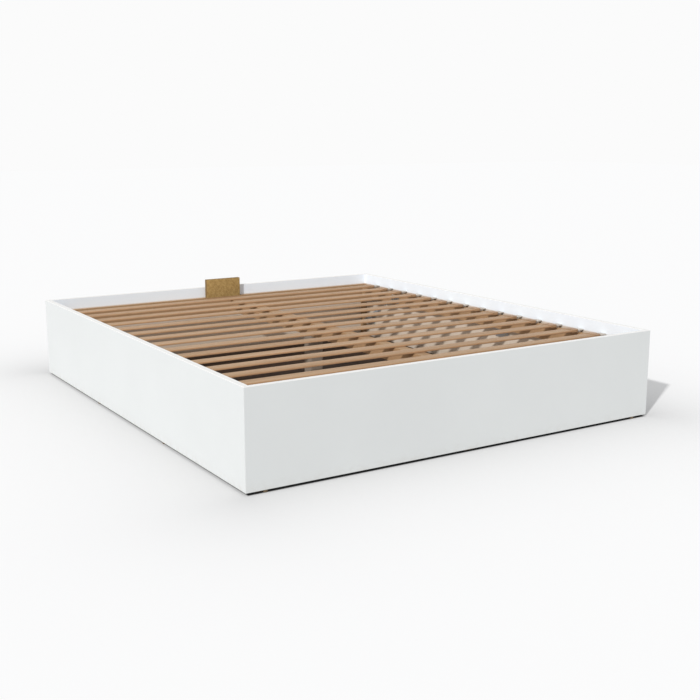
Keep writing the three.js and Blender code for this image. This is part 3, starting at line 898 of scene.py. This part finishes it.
for side, sign in (("left", -1), ("right", 1)):
    rod_low, rod_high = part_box("strut_rod_" + side)
    strut_x = abs(rod_low.x + rod_high.x) / 2
    boss_end = strut_x + EYE_WIDTH / 2 + EYE_GAP

    low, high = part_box("strut_box_mount_" + side)
    middle = (low + high) / 2
    wall, face = sign * INNER_X, sign * (INNER_X - PLATE)
    plate = wall_plate("mount_sheet", wall, face, low, high, MOUNT_CORNER)
    boss_length = INNER_X - PLATE - boss_end
    stud_length = INNER_X - PLATE - min(abs(low.x), abs(high.x))
    head = stud_length - HEAD_LENGTH
    rings = [(0, BOSS_FOOT_RADIUS), (LONG_BOSS_FOOT, BOSS_RADIUS), (boss_length, BOSS_RADIUS)]
    rings += [(boss_length, PIN), (head, PIN), (head, HEAD_RADIUS)]
    rings += [(stud_length - HEAD_EDGE, HEAD_RADIUS), (stud_length, HEAD_TIP_RADIUS)]
    stud = new_turned("mount_stud", rings, Vector((face, middle.y, middle.z)), (-sign, 0, 0))
    mount = join("box_mount_" + side, [plate, stud])
    dress(mount, zinc, "box")
    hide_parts("strut_box_mount_" + side)
    spots = corners_of(face, low, high, MOUNT_SCREW_INSET)
    screws("box_mount_screws_" + side, spots, (-sign, 0, 0), "box")

    low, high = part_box("strut_frame_mount_" + side)
    middle = (low + high) / 2
    wall, face = sign * rail_low.x, sign * (rail_low.x - PLATE)
    plate = wall_plate("mount_sheet", wall, face, low, high, MOUNT_CORNER)
    boss_length = rail_low.x - PLATE - boss_end
    rings = [(0, BOSS_FOOT_RADIUS), (SHORT_BOSS_FOOT, BOSS_RADIUS)]
    rings += [(boss_length - BROKEN_EDGE, BOSS_RADIUS), (boss_length, BOSS_RADIUS - BROKEN_EDGE)]
    boss = new_turned("mount_boss", rings, Vector((face, middle.y, middle.z)), (-sign, 0, 0))
    mount = join("frame_mount_" + side, [plate, boss])
    dress(mount, zinc, "lift_frame")
    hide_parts("strut_frame_mount_" + side)
    depths = (middle.y - MOUNT_SCREW_SPREAD, middle.y + MOUNT_SCREW_SPREAD)
    spots = [Vector((face, y, middle.z)) for y in depths]
    screws("frame_mount_screws_" + side, spots, (-sign, 0, 0), "lift_frame")
print("strut mounts: 4")

# %% [markdown]
# A gas strut is a painted tube with a groove that is rolled in near its open end, and a polished
# rod that slides in it. Each has an eye: one turns on the stud of the box mount, the other sits
# beside the boss on the frame.

# %% Gas struts
EYE_RADIUS = 0.01
EYE_HOLE = 0.0043
EYE_NECK = 0.0085  # from the middle of an eye to where its strut begins
TUBE_RADIUS = 0.009
GROOVE_RADIUS = 0.0082
TUBE_END = 0.176
ROD_START = 0.032
ROD_TIP_RADIUS = 0.0036
FERRULE_RADIUS = 0.0062
FERRULE_START = 0.018  # from the middle of the upper eye
STEP = 0.001

# Rings of the tube, from its eye to its open end. The last two turn inwards and line its mouth.
TUBE_RINGS = [
    (EYE_NECK, 0.0056),
    (0.013, FERRULE_RADIUS),
    (0.0145, 0.0086),
    (0.0155, TUBE_RADIUS),
    (0.158, TUBE_RADIUS),
    (0.159, GROOVE_RADIUS),
    (0.1625, GROOVE_RADIUS),
    (0.1635, TUBE_RADIUS),
    (TUBE_END - STEP, TUBE_RADIUS),
    (TUBE_END, GROOVE_RADIUS),
    (TUBE_END, EYE_HOLE),
    (0.16, EYE_HOLE),
]

for side in ("left", "right"):
    foot_low, foot_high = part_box("strut_box_mount_" + side)
    top_low, top_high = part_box("strut_frame_mount_" + side)
    rod_low, rod_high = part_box("strut_rod_" + side)
    x = (rod_low.x + rod_high.x) / 2
    foot = Vector((x, *((foot_low + foot_high) / 2).yz))
    top = Vector((x, *((top_low + top_high) / 2).yz))
    line = (top - foot).normalized()
    length = (top - foot).length

    barrel = new_turned("barrel", TUBE_RINGS, foot, line)
    lower_eye = new_ring("lower_eye", foot, EYE_RADIUS, EYE_HOLE, EYE_WIDTH)
    cylinder = join("cylinder_" + side, [barrel, lower_eye])
    dress(cylinder, grey_coat, "cylinder_" + side)
    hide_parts("strut_cylinder_" + side)

    ferrule = length - FERRULE_START
    rings = [(ROD_START, ROD_TIP_RADIUS), (ROD_START + STEP, PIN), (ferrule - STEP, PIN)]
    rings += [(ferrule, FERRULE_RADIUS), (length - EYE_NECK, FERRULE_RADIUS)]
    rod = new_turned("rod", rings, foot, line)
    upper_eye = new_ring("upper_eye", top, EYE_RADIUS, EYE_HOLE, EYE_WIDTH)
    slider = join("rod_" + side, [rod, upper_eye])
    dress(slider, rod_chrome, "rod_" + side)
    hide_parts("strut_rod_" + side)
print("struts: 2")

# %% [markdown]
# The closed frame lies on steel angles. Each is made of two plates: the upright leaf, which is
# screwed to the panel, and the seat along its top edge. Two plates are easier to give round
# corners than one folded strip.

# %% Rest angles
ANGLE_CORNER = 0.004
ANGLE_SCREW_HEIGHT = 0.016
ANGLE_SCREW_SHARES = (0.2, 0.8)


def new_angle(name, low, high, wall_direction):
    """wall_direction points to the panel that the upright leaf is fixed to."""
    leaf_low, leaf_high = Vector(low), Vector(high)
    index = 0 if wall_direction[0] else 1
    if wall_direction[index] > 0:
        leaf_low[index] = high[index] - PLATE
    else:
        leaf_high[index] = low[index] + PLATE
    leaf = new_plate("leaf", leaf_low, leaf_high, AXES["XY"[index]], ANGLE_CORNER)
    seat_low = Vector((low.x, low.y, high.z - PLATE))
    seat = new_plate("seat", seat_low, high, AXES["Z"], ANGLE_CORNER)
    return join(name, [leaf, seat])


for side, sign in (("left", -1), ("right", 1)):
    low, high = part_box("rest_angle_" + side)
    angle = new_angle("rest_" + side, low, high, (sign, 0))
    dress(angle, zinc, "box")
    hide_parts("rest_angle_" + side)
    face, height = sign * (INNER_X - PLATE), low.z + ANGLE_SCREW_HEIGHT
    spots = [Vector((face, y, height)) for y in between(low.y, high.y, ANGLE_SCREW_SHARES)]
    screws("rest_screws_" + side, spots, (-sign, 0, 0), "box")

    low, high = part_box("rest_angle_foot_" + side)
    angle = new_angle("rest_foot_" + side, low, high, (0, -1))
    dress(angle, zinc, "box")
    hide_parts("rest_angle_foot_" + side)
    face, height = low.y + PLATE, low.z + ANGLE_SCREW_HEIGHT
    spots = [Vector((x, face, height)) for x in between(low.x, high.x, ANGLE_SCREW_SHARES)]
    screws("rest_screws_foot_" + side, spots, (0, 1, 0), "box")
print("rest angles: 4")

# %% [markdown]
# A block of wood stands in each corner, where a side panel and an end panel meet. Its edges are
# broken with a small bevel, and three screws go through it into the side panel.

# %% Corner blocks with broken edges and screws
BLOCK_EDGE = 0.0015
BLOCK_SCREW_SHARES = (0.2, 0.5, 0.8)

for name in sorted(n for n in nodes if n.startswith("corner_block")):
    low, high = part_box(name)
    piece = bevel(new_box("shape_" + name, low, high), BLOCK_EDGE)
    dress(piece, upright_wood, "box")
    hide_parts(name)
    sign = 1 if low.x > 0 else -1
    face = low.x if sign > 0 else high.x
    middle = (low + high) / 2
    spots = [Vector((face, middle.y, z)) for z in between(low.z, high.z, BLOCK_SCREW_SHARES)]
    screws("screws_" + name, spots, (-sign, 0, 0), "box")
print("corner blocks: 4")

# %% [markdown]
# The rails are screwed together through the side rails and the end rails, into the end grain. The
# bottom boards are held down on their strips by a row of browned screws along each edge. These
# heads only show when the base is up.

# %% Screws in the frame and in the bottom boards
EDGE_INSET = 0.012
RAIL_SCREW_SHARES = (0.25, 0.75)
BOARD_SCREW_SHARES = (0.08, 0.2, 0.32, 0.44, 0.66, 0.78, 0.9)
LEDGE_SCREW_SHARES = (0.06, 0.28, 0.72, 0.94)

for side, sign in (("left", -1), ("right", 1)):
    spots = []
    for rail in ("foot", "head"):
        low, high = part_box("frame_rail_" + rail)
        face, middle = sign * rail_high.x, (low + high) / 2
        spots += [Vector((face, middle.y, z)) for z in between(low.z, high.z, RAIL_SCREW_SHARES)]
    screws("rail_screws_" + side, spots, (sign, 0, 0), "lift_frame")

centre_low, centre_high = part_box("frame_rail_centre")
for rail, direction in (("foot", -1), ("head", 1)):
    low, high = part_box("frame_rail_" + rail)
    face, middle = low.y if direction < 0 else high.y, (low + high) / 2
    across = between(centre_low.x, centre_high.x, RAIL_SCREW_SHARES)
    spots = [Vector((x, face, middle.z)) for x in across]
    screws("centre_screws_" + rail, spots, (0, direction, 0), "lift_frame")

for side in ("left", "right"):
    low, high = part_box("bottom_board_" + side)
    edges = (low.x + EDGE_INSET, high.x - EDGE_INSET)
    along = between(low.y, high.y, BOARD_SCREW_SHARES)
    spots = [Vector((x, y, high.z)) for x in edges for y in along]
    screws("board_screws_" + side, spots, (0, 0, 1), "box", browned_steel)

low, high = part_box("head_ledge")
middle = (low + high) / 2
spots = [Vector((x, low.y, middle.z)) for x in between(low.x, high.x, LEDGE_SCREW_SHARES)]
screws("ledge_screws", spots, (0, -1, 0), "box")
bpy.data.objects.remove(master_screw)
print("frame, board and ledge screws done")

# %% [markdown]
# ## Camera
# The camera was worked out from the box's edges in the photo: a 54 mm lens on a 36 mm sensor, a
# little above the bed and off its foot-left corner.

# %% Camera at the photo's angle
CAMERA_PLACE = Vector((-2.3754, -3.9711, 1.1467))
CAMERA_HEADING = 1.00556
CAMERA_DIP = 0.20221
CAMERA_ROLL = -0.00004
LENS = 54.23  # millimetres
SENSOR = 36  # millimetres

camera_data = bpy.data.cameras.new("camera")
camera_data.lens = LENS
camera_data.sensor_width = SENSOR
camera = bpy.data.objects.new("camera", camera_data)
bpy.context.collection.objects.link(camera)
camera.location = CAMERA_PLACE
camera.rotation_euler = (math.pi / 2 - CAMERA_DIP, CAMERA_ROLL, CAMERA_HEADING - math.pi / 2)
bpy.context.scene.camera = camera
print("camera at", tuple(round(part, 3) for part in CAMERA_PLACE))

# %% [markdown]
# ## Sun and fill
# A soft sun from the left and the front and a white sky match the photo's three tones: top edges
# brightest, the left face next, the foot face darkest. Little of it falls between the slats, so a
# weak warm lamp inside the box, hidden from the camera, stands in for the light that bounces
# there.

# %% Sun and fill lamp
SUN_DIRECTION = Vector((0.731, 0.462, -0.502))
SUN_STRENGTH = 2.34
SUN_BLUR = 2.0  # degrees, the softness of the shadow's edge
FILL_POWER = 3.0
FILL_SIZE = (1.7, 1.95)
FILL_HEIGHT = 0.03
FILL_COLOUR = (1.0, 0.9, 0.8)

sun_data = bpy.data.lights.new("sun", "SUN")
sun_data.energy = SUN_STRENGTH
sun_data.angle = math.radians(SUN_BLUR)
sun = bpy.data.objects.new("sun", sun_data)
sun.rotation_euler = Vector((0, 0, -1)).rotation_difference(SUN_DIRECTION).to_euler()
bpy.context.collection.objects.link(sun)

fill_data = bpy.data.lights.new("box_fill", "AREA")
fill_data.shape = "RECTANGLE"
fill_data.size = FILL_SIZE[0]
fill_data.size_y = FILL_SIZE[1]
fill_data.energy = FILL_POWER
fill_data.color = FILL_COLOUR
fill = bpy.data.objects.new("box_fill", fill_data)
fill.location = (0, 0, FILL_HEIGHT)
fill.rotation_euler = (math.pi, 0, 0)
fill.visible_camera = False
bpy.context.collection.objects.link(fill)
print("sun", SUN_STRENGTH, "and fill", FILL_POWER)

# %% [markdown]
# ## Sky
# The background should be white, but a white sky would wash the bed out. The camera therefore
# sees one sky and the bed is lit by another, dimmer one. Metal mirrors the white one, as it would
# in a studio.

# %% Sky for the light and sky for the eye
SKY_STRENGTH = 0.6
SKY_COLOUR = (0.97, 0.985, 1.0)
BACKDROP_COLOUR = (0.965, 0.965, 0.965)

world = bpy.data.worlds.new("sky")
world.use_nodes = True
bpy.context.scene.world = world
sky_tree = world.node_tree


def seen_directly(tree):
    """1 for what the camera sees, also as a mirror image, and 0 for light that falls on the bed."""
    path = tree.nodes.new("ShaderNodeLightPath")
    seen = Value(tree, path.outputs["Is Camera Ray"])
    for kind in ("Glossy", "Transmission"):
        seen = seen.most(Value(tree, path.outputs[f"Is {kind} Ray"]))
    return seen


seen = seen_directly(sky_tree)
sky = sky_tree.nodes["Background"]
sky.inputs["Color"].default_value = (*SKY_COLOUR, 1)
sky.inputs["Strength"].default_value = SKY_STRENGTH
backdrop = sky_tree.nodes.new("ShaderNodeBackground")
backdrop.inputs["Color"].default_value = (*BACKDROP_COLOUR, 1)
pick = sky_tree.nodes.new("ShaderNodeMixShader")
seen.feed(pick.inputs[0], seen)
sky_tree.links.new(sky.outputs[0], pick.inputs[1])
sky_tree.links.new(backdrop.outputs[0], pick.inputs[2])
sky_tree.links.new(pick.outputs[0], sky_tree.nodes["World Output"].inputs["Surface"])
print("sky strength:", SKY_STRENGTH)

# %% [markdown]
# ## Floor
# The floor looks near white to the camera but throws less light back, as a grey studio floor
# would. Painted shade darkens it towards the bed, and a painted shadow makes it nearly black in the
# narrow gap under it. On the left that painted shadow starts a little way in, where the sun would
# reach.

# %% Floor
FLOOR_SIZE = 60
FLOOR_FOR_CAMERA = (1.0, 0.992, 0.986)
FLOOR_FOR_LIGHT = (0.43, 0.43, 0.43)
PAINTED_SHADOW_UNDER_BED = (0.01, 0.01, 0.01)
FLOOR_GLOW = 0.012  # a trace of light of its own, which keeps it near white under a low sun
EDGE_SHADE = 0.27  # how much darker the painted shade makes the floor at the panels
EDGE_SHADE_REACH = 0.28
PAINTED_SUNLIT_STRIP = 0.0075  # how far in under the left panel the painted shadow starts, where the sun would reach
SUNLIT_BLEND = 0.01
PAINTED_GAP_SHADOW_EDGES = (-0.007, 0.003)  # the painted shadow of the gap fades between these distances from a panel

bpy.ops.object.select_all(action="DESELECT")
bpy.ops.mesh.primitive_plane_add(size=FLOOR_SIZE, location=(0, 0, 0))
floor = bpy.context.object
floor.name = "floor"
floor_material, floor_place, _ = start_material("studio_floor")
floor_tree = floor_material.node_tree
seen = seen_directly(floor_tree)
side_distance = floor_place.axis("X").size() - cad_box[1][0]
end_distance = floor_place.axis("Y").size() - cad_box[1][1]
distance = (side_distance.most(0.0) ** 2 + end_distance.most(0.0) ** 2) ** 0.5
# Painted shade: the floor darkens towards the bed, standing for the shade the bed throws on it.
painted_shade_near_bed = (distance * (-1 / EDGE_SHADE_REACH)).exponent()
# Painted shadow: the floor under the panels is painted nearly black for the camera, except a strip
# on the left where the sun would reach.
painted_sunlit_side = (0 - floor_place.axis("X")).step(0.0, SUNLIT_BLEND)
gap_distance = (side_distance + painted_sunlit_side * PAINTED_SUNLIT_STRIP).most(end_distance)
beside_bed = gap_distance.step(*PAINTED_GAP_SHADOW_EDGES)
open_level = (painted_shade_near_bed * EDGE_SHADE).colours(FLOOR_FOR_CAMERA, (0.0, 0.0, 0.0))
seen_level = beside_bed.colours(PAINTED_SHADOW_UNDER_BED, open_level)
level = seen.colours(FLOOR_FOR_LIGHT, seen_level)
matt = {"Specular_IOR_Level": 0.0, "Emission_Strength": FLOOR_GLOW}
finish_material(floor_material, level, 0.9, floor_place.noise(40), 0.00002, **matt)
floor.data.materials.append(floor_material)
bpy.context.scene.view_settings.view_transform = "Standard"
print("floor done")
